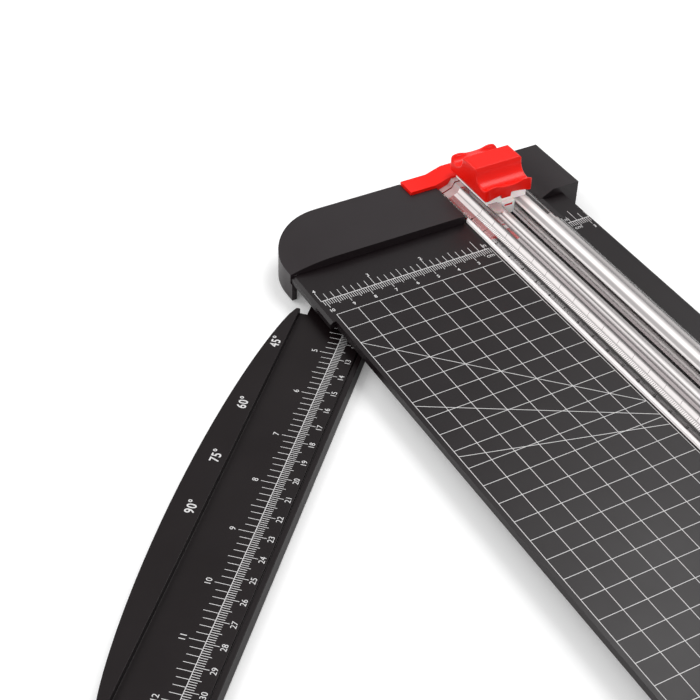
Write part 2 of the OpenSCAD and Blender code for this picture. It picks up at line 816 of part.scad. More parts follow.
// Press cap outline from above, with round corners
module press_plan() {
    x = press_half - press_corner;
    for (sx = [-1, 1]) for (y = [press_front + press_corner, press_back - press_corner])
        translate([sx * x, y]) circle(r = press_corner);
    translate([-press_half, press_front + press_corner])
        square([2 * press_half, press_len - 2 * press_corner]);
    translate([-x, press_front]) square([2 * x, press_len]);
}

// Red press cap: a hump between two finger grooves, hollow below, with arched end walls
module press_cap() {
    low = deck_top + press_low;
    arch_r = (pow(press_half, 2) + pow(arch_h, 2)) / (2 * arch_h);
    color([0.88, 0.07, 0.06])
    difference() {
        translate([0, 0, low]) linear_extrude(press_high - press_low) press_plan();
        for (side = [-1, 1]) {
            y = press_mid + side * (press_len / 2 - finger_in);
            bar(-press_half - through, press_half + through, y, deck_top + finger_rise, finger_r, $fn = 96);
            box([-press_half - through, min(y, y + side * press_len), deck_top + press_rim],
                [press_half + through, max(y, y + side * press_len), deck_top + press_high + through]);
        }
        box([-press_half + press_wall, press_front + press_wall, low - through],
            [press_half - press_wall, press_back - press_wall, press_roof]);
        box([-press_half + press_wall, press_mid - hump_cavity / 2, low],
            [press_half - press_wall, press_mid + hump_cavity / 2, hump_roof]);
        difference() {
            translate([0, press_back + through, low + arch_h - arch_r]) rotate([90, 0, 0])
                cylinder(r = arch_r, h = press_len + 2 * through, $fn = 180);
            box([-tongue_left, press_front, low],
                [tongue_right, press_front + press_wall, low + 2 * arch_h]);
        }
        for (x = [-holder_screw_x, holder_screw_x])
            post(x, press_mid, hump_roof - through, holder_screw_top, holder_screw_r + screw_gap);
    }
}

// Translucent slider: the runner and its nose in the slot, the plate on the rail's tops, the tower above it
module slider() {
    shoe_x = -plate_half + slide_gap;
    shoe_y = press_front - shoe_reach + shoe_w / 2;
    tower_top = shoe_top + tower_h;
    wall_top = press_roof - press_travel - slide_gap;
    slot_half_w = stem_t / 2 + stem_gap;
    slot_half_l = stem_w / 2 + stem_gap;
    color([0.92, 0.88, 0.88, 0.7])
    difference() {
        union() {
            box([-runner_half, plate_front, runner_low], [runner_half, runner_back, shoe_top]);
            box([-runner_half, runner_front, runner_low], [runner_half, plate_front + small, nose_top]);
            box([-flange_half, plate_front, flange_low],
                [flange_half, runner_back, flange_low + flange_h]);
            box([-plate_half, plate_front, shoe_low], [plate_half, plate_back, shoe_top]);
            box([-plate_half, plate_front, shoe_low], [plate_half, plate_front + press_wall, wall_top]);
            box([-plate_half, press_mid - tower_len / 2, shoe_low],
                [plate_half, press_mid + tower_len / 2, tower_top]);
            box([shoe_x, shoe_y, shoe_low], [shoe_x + shoe_w, plate_front + small, shoe_low + shoe_lip]);
            post(shoe_x + shoe_w / 2, shoe_y, shoe_low, shoe_low + shoe_lip, shoe_w / 2);
        }
        box([-slot_half_w, press_mid - slot_half_l, runner_low - through],
            [slot_half_w, press_mid + slot_half_l, tower_top + through]);
        box([-stop_half - stem_gap, press_mid - slot_half_l, runner_low - through],
            [stop_half + stem_gap, press_mid + slot_half_l, stop_top + stem_gap]);
        for (x = [-spring_out, spring_out])
            post(x, press_mid, shoe_top, tower_top + through, spring_r + slide_gap);
        cut_mark_body(seat_gap / 2);
    }
}

// Bar let into the nose at the cut line, grown by a fit
module cut_mark_body(fit) {
    z = rail_top - mark_drop;
    box([-mark_half - fit, runner_front - fit, z - shoe_lip / 2 - fit],
        [mark_half + fit, runner_front + shoe_lip + fit, z + shoe_lip / 2 + fit]);
}

// Red mark on the nose that shows the cut line
module cut_mark() {
    color([0.8, 0.1, 0.1]) cut_mark_body(0);
}

// Blade holder: a head under the press cap's hump and a stem that carries the blade, with its stop foot
module blade_holder() {
    front = press_mid - stem_w / 2;
    back = press_mid + stem_w / 2;
    color([0.75, 0.08, 0.07])
    difference() {
        union() {
            box([-plate_half, front, head_low], [plate_half, back, hump_roof]);
            box([-stem_t / 2, front, deck_top + stem_low], [stem_t / 2, back, hump_roof]);
            box([-stop_half, front, stop_top - stop_h], [stop_half, back, stop_top]);
        }
        box([-blade_t / 2 - screw_gap, press_mid - blade_w / 2 - screw_gap, deck_top],
            [blade_t / 2 + screw_gap, press_mid + blade_w / 2 + screw_gap, blade_top + screw_gap]);
        blade_pin_body(screw_gap);
        for (x = [-holder_screw_x, holder_screw_x]) {
            post(x, press_mid, head_low - through, hump_roof + through, holder_screw_r + screw_gap);
            post(x, press_mid, head_low - through, head_low + holder_screw_r,
                 holder_screw_head_r + screw_gap);
        }
    }
}

// Screws that hold the blade holder under the press cap
module holder_screws() {
    color("silver") for (x = [-holder_screw_x, holder_screw_x]) {
        post(x, press_mid, head_low, head_low + holder_screw_r, holder_screw_head_r);
        post(x, press_mid, head_low, holder_screw_top, holder_screw_r);
    }
}

// Pin across the stem at the blade's hole, grown by a fit
module blade_pin_body(fit) {
    bar(-stem_t / 2, stem_t / 2, press_mid, deck_top + stem_low + stop_h, blade_pin_r + fit);
}

// Pointed steel blade that cuts both ways
module blade() {
    color([0.75, 0.76, 0.78])
    difference() {
        translate([-blade_t / 2, press_mid, 0]) rotate([90, 0, 90]) linear_extrude(blade_t)
            polygon([[-blade_w / 2, blade_top], [-blade_w / 2, deck_top + stem_low],
                     [0, deck_top + blade_rest],
                     [blade_w / 2, deck_top + stem_low], [blade_w / 2, blade_top]]);
        blade_pin_body(screw_gap);
    }
}

module blade_pin() {
    color("silver") blade_pin_body(0);
}

// Press springs between the slider and the blade holder's head
module press_springs() {
    color("silver") for (x = [-spring_out, spring_out]) difference() {
        post(x, press_mid, shoe_top, head_low, spring_r);
        post(x, press_mid, shoe_top - through, head_low + through, spring_r - spring_wire);
    }
}

// Distance of the grip's curved edge from the pivot line, at a share from -1 to 1 of its half length
function grip_edge(share) =
    -arm_out - grip_tip - (grip_bulge - grip_tip) * pow(max(0, 1 - share * share), grip_fullness);

// Points of the grip seen from above, along the arm from its tip
module grip_plan() {
    polygon([
        [neck_len + grip_run, -arm_out], [neck_len, -arm_out],
        for (i = [-grip_steps : grip_steps])
            [neck_len + grip_run / 2 * (1 + i / grip_steps), grip_edge(i / grip_steps)]
    ]);
}

// Ruler arm along its own axis from the pivot: plate with a grooved edge, neck and raised grip, hollow below
module arm_body() {
    difference() {
        union() {
            rotate([90, 0, 90]) translate([0, 0, neck_len]) linear_extrude(arm_len - neck_len)
                polygon([[-arm_out, arm_lift], [-arm_out, arm_top], [arm_in, arm_top],
                         [arm_in, arm_top - arm_groove_d], [ledge_in, arm_top - arm_groove_d],
                         [ledge_in, ledge_top], [ledge_out, ledge_top], [ledge_out + arm_side_w, arm_lift]]);
            translate([0, 0, arm_lift]) linear_extrude(arm_top - arm_lift)
                polygon([[0, -neck_r], [neck_len + small, -neck_r], [neck_len + small, arm_in],
                         [neck_r, arm_in], [0, neck_r]]);
            post(0, 0, arm_lift, arm_top, neck_r);
            translate([0, 0, arm_lift]) linear_extrude(arm_top + grip_rise - arm_lift) grip_plan();
        }
        box([neck_len + arm_wall, -arm_out + arm_wall, -through],
            [arm_len - arm_wall, arm_in - arm_wall, arm_top - arm_skin]);
        post(0, 0, -through, arm_top + through, post_r + run_gap);
        post(0, 0, -through, counter_top, post_head_r + 2 * rub_gap);
    }
}

// Places a child made about the pivot at the angle the arm stands at
module at_pivot() {
    translate([-pivot_left, pivot_y, 0]) rotate([0, 0, arm_angle]) children();
}

module ruler_arm() {
    color([0.14, 0.135, 0.135]) at_pivot() arm_body();
}

// Shoulder screw that the arm swings on
module pivot_screw() {
    color("silver") at_pivot() {
        post(0, 0, arm_lift, arm_lift + post_head_h, post_head_r);
        post(0, 0, arm_lift, boss_low, post_r);
        post(0, 0, arm_lift, post_top, screw_r);
    }
}

// Friction washer between the screw's head and the arm
module friction_washer() {
    color([0.85, 0.8, 0.6]) at_pivot() difference() {
        post(0, 0, arm_lift + post_head_h, arm_lift + post_head_h + washer_t, post_head_r);
        post(0, 0, -through, arm_top, post_r + run_gap);
    }
}

deck();
cutting_strip();
head_cap();
foot_cap();
head_cap_screws();
foot_cap_screws();
rubber_feet();
rail_left();
rail_right();
lift_end();
hinge_block();
hinge_pin();
lift_end_screws();
hinge_block_screws();
press_cap();
slider();
cut_mark();
blade_holder();
holder_screws();
blade();
blade_pin();
press_springs();
ruler_arm();
pivot_screw();
friction_washer();
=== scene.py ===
# Sliding paper trimmer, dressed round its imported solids: the ruled deck between its end caps, the clear
# rail on its hinge, the red press carriage and the ruler arm that folds out from under the deck.
import math

import bmesh
import bpy
import numpy as np
from mathutils import Matrix


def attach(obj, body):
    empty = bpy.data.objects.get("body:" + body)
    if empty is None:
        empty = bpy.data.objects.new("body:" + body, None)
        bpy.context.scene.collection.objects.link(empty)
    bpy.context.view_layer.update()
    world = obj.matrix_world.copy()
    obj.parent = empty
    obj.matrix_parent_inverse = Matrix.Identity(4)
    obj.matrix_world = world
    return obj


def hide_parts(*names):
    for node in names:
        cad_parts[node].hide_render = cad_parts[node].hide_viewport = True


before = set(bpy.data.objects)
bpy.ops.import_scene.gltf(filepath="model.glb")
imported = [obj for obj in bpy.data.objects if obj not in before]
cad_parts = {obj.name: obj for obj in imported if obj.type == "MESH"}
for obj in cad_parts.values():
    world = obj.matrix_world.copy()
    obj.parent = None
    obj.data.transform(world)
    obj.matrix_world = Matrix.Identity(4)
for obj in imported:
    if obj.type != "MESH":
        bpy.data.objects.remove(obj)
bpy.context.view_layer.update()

scene = bpy.context.scene
scene.view_settings.view_transform = "Standard"

# Deck
# The base is one black plastic moulding with a satin face and stiffening ribs below. Its edges are
# drawn over a small radius so that the sheet slides on without catching.
PATCHES = 45.0
TINT_DRIFT = 0.12
TINT_FLOOR = 0.001
GLOSS_DRIFT = 0.12
GLOSS_ETCH = 0.06
ETCH_STRENGTH = 0.6
WELD = 1e-6
FLAT_ANGLE = math.radians(0.4)
SHARP_ANGLE = math.radians(30.0)


class Wire:
    """An output in a material's nodes. Plain sums on it add Math nodes to the same material."""

    def __init__(self, tree, socket=None):
        self.tree = tree
        self.socket = socket

    def node(self, kind, settings=None, sockets=None, output=0):
        """Adds a node, sets its settings, fills its sockets by name or number with numbers or wires,
        and gives back one of its outputs. A ramp's stops are pairs of place and colour."""
        made = self.tree.nodes.new(kind)
        for name, value in (settings or {}).items():
            if name == "stops":
                ramp = made.color_ramp.elements
                while len(ramp) < len(value):
                    ramp.new(1.0)
                for stop, (place, colour) in zip(ramp, value):
                    stop.position = place
                    stop.color = colour
            else:
                setattr(made, name, value)
        for place, value in (sockets or {}).items():
            if isinstance(value, Wire):
                self.tree.links.new(value.socket, made.inputs[place])
            else:
                made.inputs[place].default_value = value
        return Wire(self.tree, made.outputs[output])

    def math(self, operation, first, second=0.0):
        """Adds a Math node for one operation on two values."""
        return self.node("ShaderNodeMath", {"operation": operation}, {0: first, 1: second})

    def __add__(self, other):
        return self.math("ADD", self, other)

    def __sub__(self, other):
        return self.math("SUBTRACT", self, other)

    def __rsub__(self, other):
        return self.math("SUBTRACT", other, self)

    def __mul__(self, other):
        return self.math("MULTIPLY", self, other)

    __radd__ = __add__
    __rmul__ = __mul__

    def into(self, socket):
        """Links this output to a socket."""
        self.tree.links.new(self.socket, socket)


def shader_of(name, constants):
    """Starts a material: gives it, its shader with the constant sockets set, a first wire, and the wire
    of the place on the object."""
    material = bpy.data.materials.new(name)
    material.use_nodes = True
    shader = material.node_tree.nodes["Principled BSDF"]
    for socket, value in constants.items():
        shader.inputs[socket].default_value = value
    wire = Wire(material.node_tree)
    return material, shader, wire, wire.node("ShaderNodeTexCoord", output="Object")


def mottle(wire, shader, place, scale, detail, deep, pale):
    """Noise of scale counts per metre that mixes the base colour between a deep and a pale tint. It is
    given back, for the roughness to follow."""
    noise = wire.node("ShaderNodeTexNoise", None, {"Vector": place, "Scale": scale, "Detail": detail})
    tints = {0: noise, 6: (*deep, 1.0), 7: (*pale, 1.0)}
    wire.node("ShaderNodeMix", {"data_type": "RGBA"}, tints, 2).into(shader.inputs["Base Color"])
    return noise


def moulded(name, colour, gloss, grain, depth, constants=None):
    """Moulded plastic: the colour and roughness drift a little in patches some centimetres wide, and a
    fine etched grain, so many counts per metre, lifts the surface by depth."""
    material, shader, wire, place = shader_of(name, constants or {})
    deep = [c * (1 - TINT_DRIFT) for c in colour]
    pale = [min(1.0, c * (1 + TINT_DRIFT) + TINT_FLOOR) for c in colour]
    drift = mottle(wire, shader, place, scale=PATCHES, detail=3.0, deep=deep, pale=pale)
    etch = wire.node("ShaderNodeTexNoise", None, {"Vector": place, "Scale": grain, "Detail": 2.0})
    rough = gloss + (drift - 0.5) * GLOSS_DRIFT + (etch - 0.5) * GLOSS_ETCH
    rough.into(shader.inputs["Roughness"])
    bump = wire.node("ShaderNodeBump", None, {"Strength": ETCH_STRENGTH, "Distance": depth, "Height": etch})
    bump.into(shader.inputs["Normal"])
    return material


def softened(node, name, finish, body, radius, steps=3):
    """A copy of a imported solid, its loose triangles joined into flat faces again, with every edge
    sharper than 30 degrees rounded off by the radius. It stands for that solid."""
    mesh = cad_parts[node].data.copy()
    mesh.name = name
    shape = bmesh.new()
    shape.from_mesh(mesh)
    bmesh.ops.remove_doubles(shape, verts=shape.verts, dist=WELD)
    bmesh.ops.dissolve_limit(shape, angle_limit=FLAT_ANGLE, verts=shape.verts, edges=shape.edges)
    shape.to_mesh(mesh)
    shape.free()
    if "custom_normal" in mesh.attributes:
        mesh.attributes.remove(mesh.attributes["custom_normal"])
    mesh.materials.clear()
    mesh.materials.append(finish)
    mesh.shade_smooth()
    copy = bpy.data.objects.new(name, mesh)
    scene.collection.objects.link(copy)
    bevel = copy.modifiers.new("rounded_edges", "BEVEL")
    bevel.width = radius
    bevel.segments = steps
    bevel.limit_method = "ANGLE"
    bevel.angle_limit = SHARP_ANGLE
    bevel.harden_normals = True
    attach(copy, body)
    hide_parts(node)
    return copy


deck_black = moulded("deck_black_plastic", (0.0064, 0.0034, 0.0044), gloss=0.34, grain=5200.0, depth=0.00001,
                     constants={"IOR": 1.5, "Specular IOR Level": 0.27})
softened("deck", "deck_plate", deck_black, "base", radius=0.0003)

# Deck print
# Off-white ink is screen printed on the deck: a centimetre grid, three angle lines that meet at the cut,
# and an inch and centimetre ruler along the fence. All sizes of the prints are in millimetres.
MM = 0.001
INCH = 25.4
DECK_TOP = 12.2
INK_SUNK = 0.02
INK_PROUD = 0.03
INK_LAYER = 0.004
FIGURE_WELD = 1e-5
SLAB_FACES = np.array([[3, 2, 1, 0], [4, 5, 6, 7], [0, 1, 5, 4], [1, 2, 6, 5], [2, 3, 7, 6], [3, 0, 4, 7]])


def strokes(start, end, width, lift=0.0):
    """Ruled lines as thin slabs: the four corners of each are its two end points moved half a width to
    either side, once at the ink's sunk height and once at its proud height and a lift."""
    start = np.atleast_2d(np.asarray(start, float))
    end = np.atleast_2d(np.asarray(end, float))
    along = (end - start) / np.linalg.norm(end - start, axis=1, keepdims=True)
    side = np.column_stack([-along[:, 1], along[:, 0]]) * width / 2
    flat = np.stack([start - side, end - side, end + side, start + side], axis=1)
    low = np.concatenate([flat, np.full(flat.shape[:2] + (1,), -INK_SUNK)], axis=2)
    high = np.concatenate([flat, np.full(flat.shape[:2] + (1,), INK_PROUD + lift)], axis=2)
    faces = SLAB_FACES[None] + 8 * np.arange(len(start))[:, None, None]
    return np.concatenate([low, high], axis=1).reshape(-1, 3), faces.reshape(-1, 4).tolist()


def uprights(places, start, end, width):
    """Upright strokes, each at its place between its start and its end height."""
    start = np.broadcast_to(np.asarray(start, float), places.shape)
    end = np.broadcast_to(np.asarray(end, float), places.shape)
    return strokes(np.column_stack([places, start]), np.column_stack([places, end]), width)


def figures(text, middle, height, turn=0.0, weight=0.0, narrow=1.0, spread=1.0):
    """A number in the plain built-in typeface as a thin closed slab, scaled to a height, turned about
    its own middle and put there. Weight thickens its strokes, narrow squeezes its width and spread
    widens the steps between its figures."""
    curve = bpy.data.curves.new("figures", "FONT")
    curve.body = text
    curve.offset = weight
    curve.space_character = spread
    curve.extrude = 0.5
    curve.resolution_u = 4
    holder = bpy.data.objects.new("figures", curve)
    mesh = bpy.data.meshes.new_from_object(holder)
    shape = bmesh.new()
    shape.from_mesh(mesh)
    bmesh.ops.remove_doubles(shape, verts=shape.verts, dist=FIGURE_WELD)
    shape.to_mesh(mesh)
    shape.free()
    points = np.empty(len(mesh.vertices) * 3)
    mesh.vertices.foreach_get("co", points)
    points = points.reshape(-1, 3)
    faces = [list(face.vertices) for face in mesh.polygons]
    bpy.data.objects.remove(holder)
    bpy.data.curves.remove(curve)
    bpy.data.meshes.remove(mesh)
    low, high = points.min(axis=0), points.max(axis=0)
    points = (points - (low + high) / 2) * np.array([narrow, 1.0, 1.0]) * height / (high[1] - low[1])
    points[:, 2] = np.where(points[:, 2] > 0, INK_PROUD, -INK_SUNK)
    cos, sin = math.cos(turn), math.sin(turn)
    flat = points[:, :2] @ np.array([[cos, sin], [-sin, cos]]) + np.asarray(middle, float)
    return np.column_stack([flat, points[:, 2]]), faces


def joined(parts):
    """Several pairs of points and faces as one pair: the points in one row, the faces counted on."""
    points = np.concatenate([own for own, _ in parts])
    firsts = np.cumsum([0] + [len(own) for own, _ in parts])
    return points, [[i + first for i in face] for (_, faces), first in zip(parts, firsts) for face in faces]


def piece(name, points, faces, finish, body):
    """A mesh object at the origin from points in metres, with its finish, on its body."""
    mesh = bpy.data.meshes.new(name)
    mesh.from_pydata(np.asarray(points).tolist(), [], faces)
    mesh.materials.append(finish)
    made = bpy.data.objects.new(name, mesh)
    scene.collection.objects.link(made)
    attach(made, body)
    return made


def printed(name, marks, origin, right, up, finish, body, slot):
    """Marks drawn in millimetres on a plane, laid on the object: each point is the plane's origin plus
    its two distances along right and up, plus its height along their cross product."""
    right, up = np.asarray(right, float), np.asarray(up, float)
    basis = np.array([right, up, np.cross(right, up)])
    points, faces = joined(marks)
    points = points @ basis + np.asarray(origin, float)
    return piece(name, points * MM, faces, finish, body)


INK_THINNED = 0.86
INK_GLOSS = 0.55
INK_GLOSS_DRIFT = 0.15


def ink(name, colour):
    """Screen ink: nearly matt, a little uneven in thickness, so its paleness wavers from dab to dab."""
    material, shader, wire, place = shader_of(name, {"Specular IOR Level": 0.25, "IOR": 1.45})
    thin = [c * INK_THINNED for c in colour]
    dab = mottle(wire, shader, place, scale=900.0, detail=2.0, deep=thin, pale=colour)
    (INK_GLOSS + dab * INK_GLOSS_DRIFT).into(shader.inputs["Roughness"])
    return material


GRID_STEP = 10.0
GRID_ROWS = 28
GRID_LEFT = -100.0
GRID_RIGHT = -20.0
GRID_LINE = 0.25
FIRST_ROW = 126.3
RULE_LINE = 136.5
ANGLE_FOOT = FIRST_ROW - 12 * GRID_STEP
deck_face = ((0, 0, DECK_TOP), (1, 0, 0), (0, 1, 0))
white_ink = ink("white_deck_ink", (0.74, 0.73, 0.73))
columns = np.arange(GRID_LEFT, GRID_RIGHT + 1, GRID_STEP)
rows = FIRST_ROW - GRID_STEP * np.arange(GRID_ROWS)
column_top = np.where(columns == GRID_RIGHT, RULE_LINE, FIRST_ROW)
row_left = np.column_stack([np.full(GRID_ROWS, GRID_LEFT), rows])
row_right = np.column_stack([np.full(GRID_ROWS, GRID_RIGHT), rows])
grid = [
    uprights(columns, column_top, rows[-1], GRID_LINE),
    strokes(row_left, row_right, GRID_LINE, INK_LAYER),
]
for layer, degrees in enumerate((45.0, 60.0, 75.0), start=2):
    rise = 1 / math.tan(math.radians(degrees))
    at_cut = [GRID_RIGHT, ANGLE_FOOT - GRID_RIGHT * rise]
    at_edge = [GRID_LEFT, ANGLE_FOOT - GRID_LEFT * rise]
    grid.append(strokes(at_cut, at_edge, GRID_LINE, INK_LAYER * layer))
printed("deck_grid_print", grid, *deck_face, white_ink, "base", "deck_plastic")

RULE_WIDTH = 0.36
EIGHTH_TICK = 0.22
MM_TICK = 0.23
EIGHTH_LENGTHS = (6.0, 5.3, 4.3)
FIRST_INCH_LENGTH = 7.6
MM_LENGTHS = (5.1, 4.1, 3.1)
INCH_FIGURES = 143.6
INCH_FIGURE_SHIFT = 0.2
CM_FIGURES = 129.5
UNIT_WORDS = (("in", -21.6, 139.2, 2.1), ("in", 21.6, 139.2, 2.1),
              ("cm", -22.7, 131.6, 1.5), ("cm", 22.9, 131.6, 1.5))


def ticks(places, base, lengths, width):
    """Upright ticks from half a width off a base line, as long as their lengths, down if negative."""
    return uprights(places, base + np.sign(lengths) * width / 2, base + lengths, width)


def graded(counts, whole, sizes):
    """A size for each tick by its count: the first on wholes, the second on halves, the third between."""
    between = np.where(counts % (whole // 2) == 0, sizes[1], sizes[2])
    return np.where(counts % whole == 0, sizes[0], between)


def divisions(left, right):
    """The counts of eighths of an inch and of millimetres that lie between two distances."""
    eighths = np.arange(math.ceil(left / INCH * 8), math.floor(right / INCH * 8) + 1)
    return eighths, np.arange(math.ceil(left), math.floor(right) + 1)


def rule(left, right):
    """Ruler along the fence between two distances from the cut: eighths of an inch above its line and
    millimetres below, the longer ticks on halves and wholes, the longest on the first inch."""
    eighths, mms = divisions(left, right)
    eighth_len = graded(eighths, 8, EIGHTH_LENGTHS)
    eighth_len = np.where(np.abs(eighths) == 8, FIRST_INCH_LENGTH, eighth_len)
    return [
        strokes([left, RULE_LINE], [right, RULE_LINE], RULE_WIDTH),
        ticks(eighths * INCH / 8, RULE_LINE, eighth_len, EIGHTH_TICK),
        ticks(mms, RULE_LINE, -graded(mms, 10, MM_LENGTHS), MM_TICK),
    ]


rulers = rule(-101.7, -20.6) + rule(20.2, 31.9)
for inches in (2, 3, 4):
    middle = (-INCH * inches + INCH_FIGURE_SHIFT, INCH_FIGURES)
    rulers.append(figures(str(inches), middle, height=2.0, weight=0.02, narrow=0.9))
for centimetres in (*range(-3, -11, -1), 3):
    middle = (10.0 * centimetres, CM_FIGURES)
    rulers.append(figures(str(abs(centimetres)), middle, height=1.9, weight=0.02, narrow=0.92))
for word, across, along, height in UNIT_WORDS:
    rulers.append(figures(word, (across, along), height))
printed("deck_ruler_print", rulers, *deck_face, white_ink, "base", "deck_plastic")

# Cutting strip
# A softer black strip pressed into a channel in the deck, with a groove down the middle for the blade's
# tip. It is plain moulded plastic, a little duller than the deck.
strip_black = moulded("strip_black_plastic", (0.012, 0.012, 0.012), gloss=0.55, grain=4000.0, depth=0.00002)
softened("cutting_strip", "cutting_strip_bar", strip_black, "base", radius=0.0001, steps=2)

# End caps
# Two hollow mouldings in dark grey plastic close the deck's ends. The head cap's front face is the fence
# and its left corner is drawn round and down; they are screwed to the deck from below.
cap_grey = moulded("cap_grey_plastic", (0.0145, 0.0098, 0.0115), gloss=0.38, grain=6000.0, depth=0.000015,
                   constants={"IOR": 1.5, "Specular IOR Level": 0.33})
softened("head_cap", "head_cap_shell", cap_grey, "base", radius=0.0005)
softened("foot_cap", "foot_cap_shell", cap_grey, "base", radius=0.0005)


ZINC_DULLED = 0.8
ZINC_GLOSS_DRIFT = 0.12


def zinc(name, colour, gloss):
    """Zinc-plated steel: bright, with cloudy plating and a fine tooled grain."""
    material, shader, wire, place = shader_of(name, {"Metallic": 1.0})
    dull = [c * ZINC_DULLED for c in colour]
    cloud = mottle(wire, shader, place, scale=400.0, detail=4.0, deep=dull, pale=colour)
    (gloss + cloud * ZINC_GLOSS_DRIFT).into(shader.inputs["Roughness"])
    tooled = wire.node("ShaderNodeTexNoise", None, {"Vector": place, "Scale": 6000.0, "Detail": 1.0})
    bump = wire.node("ShaderNodeBump", None, {"Strength": 0.3, "Distance": 0.00001, "Height": tooled})
    bump.into(shader.inputs["Normal"])
    return material


zinc_steel = zinc("zinc_plated_steel", (0.62, 0.62, 0.64), gloss=0.26)
for node in ("head_cap_screws", "foot_cap_screws"):
    softened(node, node + "_turned", zinc_steel, "base", radius=0.0003, steps=2)

# Rubber feet
# Seven black rubber discs glued into round seats under the caps and under the cut line. Their faces are
# dull and slightly pitted.
foot_rubber = moulded("foot_rubber", (0.018, 0.018, 0.018), gloss=0.78, grain=1800.0, depth=0.00008)
softened("rubber_feet", "rubber_foot_discs", foot_rubber, "base", radius=0.0005)

# Clear rail
# The rail is two clear plastic bars with hollow undersides and a slot between them for the carriage. They
# are polished. The pale bands that run along their length are painted highlights and reflections, with a
# faint painted glow.
FLOW_LINES = (260.0, 6.0, 260.0)
FLOW_DEEPENED = 0.96
FLOW_GLOSS_DRIFT = 0.01


def clear(name, colour, gloss):
    """Clear plastic: light goes through it, tinted a little along faint flow lines of the moulding."""
    material, shader, wire, place = shader_of(name, {"IOR": 1.49, "Transmission Weight": 1.0})
    drawn = wire.node("ShaderNodeMapping", None, {"Vector": place, "Scale": FLOW_LINES})
    deep = [c * FLOW_DEEPENED for c in colour]
    flow = mottle(wire, shader, drawn, scale=1.0, detail=2.0, deep=deep, pale=colour)
    (gloss + flow * FLOW_GLOSS_DRIFT).into(shader.inputs["Roughness"])
    return material, shader, wire, place, flow


# Each band stop is a distance across the rail in millimetres and the share of painted highlight there.
BAND_REACH = 20.0
LEFT_BANDS = ((-19.3, 1.0), (-18.55, 0.74), (-18.25, 0.0), (-17.3, 0.05), (-16.65, 0.0), (-15.8, 0.03),
              (-15.3, 0.82), (-14.0, 0.84), (-13.8, 0.25), (-13.58, 0.8), (-13.4, 1.0), (-12.8, 1.0),
              (-12.45, 0.1), (-11.3, 0.0), (-10.5, 0.06), (-9.8, 0.04), (-9.0, 0.2), (-8.15, 0.68),
              (-7.3, 0.12), (-6.1, 0.92), (-5.5, 0.72), (-4.6, 0.26))
RIGHT_BANDS = ((3.4, 0.34), (4.3, 0.8), (5.1, 0.36), (6.6, 0.36), (7.6, 0.95), (8.8, 0.95), (10.8, 0.2),
               (12.4, 0.38), (16.0, 0.34), (16.9, 0.0))
BAND_UNEVEN = 0.08
BAND_HEAD = 0.1735
# Share of painted highlight, evenly pale, over the plugs at the head end.
HEAD_PAINTED_HIGHLIGHT = 0.38
LEG_OUT = -0.0176
LEG_IN = -0.0152
LEG_FRONT = 0.1395
# Share of painted highlight added over the lift end's leg.
LEG_PAINTED_HIGHLIGHT = 0.13
GUIDE_LEFT = 0.0104
GUIDE_FRONT = 0.139
# Strength of the faint painted glow in the painted highlight bands.
BAND_PAINTED_GLOW = 0.09


def banded(name, colour, gloss):
    """Clear plastic with painted highlight bands: how much of the surface is a pale painted highlight, and
    how much is clear, follows from the distance across the rail. Over the lift end's leg more painted
    highlight is added, over the plugs at the head end it is evenly pale, and beside the head cap's guide it
    stays clear. The painted highlight also has a faint painted glow, standing for the light that the real
    bar carries along inside."""
    material, shader, wire, place, flow = clear(name, colour, gloss)
    across = wire.node("ShaderNodeSeparateXYZ", None, {"Vector": place}, "X")
    along = wire.node("ShaderNodeSeparateXYZ", None, {"Vector": place}, "Y")
    stops = [((x + BAND_REACH) / (2 * BAND_REACH), (share, share, share, 1.0))
             for x, share in LEFT_BANDS + RIGHT_BANDS]
    band = wire.node("ShaderNodeValToRGB", {"stops": stops},
                     {"Fac": (across + BAND_REACH * MM) * (0.5 / (BAND_REACH * MM))})
    before = wire.math("LESS_THAN", along, BAND_HEAD)
    over_leg = wire.math("GREATER_THAN", across, LEG_OUT) * wire.math("LESS_THAN", across, LEG_IN)
    over_leg = over_leg * wire.math("GREATER_THAN", along, LEG_FRONT)
    by_guide = wire.math("GREATER_THAN", across, GUIDE_LEFT) * wire.math("GREATER_THAN", along, GUIDE_FRONT)
    share = (band * (1 - by_guide) + over_leg * LEG_PAINTED_HIGHLIGHT) * before + (1 - before) * HEAD_PAINTED_HIGHLIGHT
    share = share + (flow - 0.5) * BAND_UNEVEN
    # The painted highlight: a pale shader with a faint painted glow, mixed over the clear plastic by the
    # share.
    painted_highlight = wire.node("ShaderNodeBsdfPrincipled", None, {
        "Base Color": (0.98, 0.925, 0.92, 1.0), "Roughness": 0.2, "IOR": 1.49,
        "Emission Color": (1.0, 0.97, 0.96, 1.0), "Emission Strength": BAND_PAINTED_GLOW}, "BSDF")
    through = Wire(wire.tree, shader.outputs["BSDF"])
    both = wire.node("ShaderNodeMixShader", None, {"Fac": share, 1: through, 2: painted_highlight}, "Shader")
    both.into(material.node_tree.nodes["Material Output"].inputs["Surface"])
    return material


def face_rows(made, what):
    """A vector of each face of a piece, its normal or its center, as rows."""
    values = np.empty(len(made.data.polygons) * 3)
    made.data.polygons.foreach_get(what, values)
    return values.reshape(-1, 3)


RIM_OUT = 0.019
FACING_UP = 0.05
RAIL_TINT = (0.97, 0.91, 0.915)
rail_clear = clear("clear_rail_plastic", RAIL_TINT, gloss=0.01)[0]
# The second finish paints highlights and reflections as pale bands on the bars' upward faces and outer rims;
# the other faces stay clear.
rail_painted_highlights = banded("rail_plastic_painted_highlights", RAIL_TINT, gloss=0.01)
for node in ("rail_left", "rail_right"):
    rail_bar = softened(node, node + "_bar", rail_clear, "rail", radius=0.00025, steps=2)
    rail_bar.data.materials.append(rail_painted_highlights)
    upward = face_rows(rail_bar, "normal")[:, 2] > FACING_UP
    at_rim = np.abs(face_rows(rail_bar, "center")[:, 0]) > RIM_OUT
    rail_bar.data.polygons.foreach_set("material_index", (upward | at_rim).astype(np.int32))

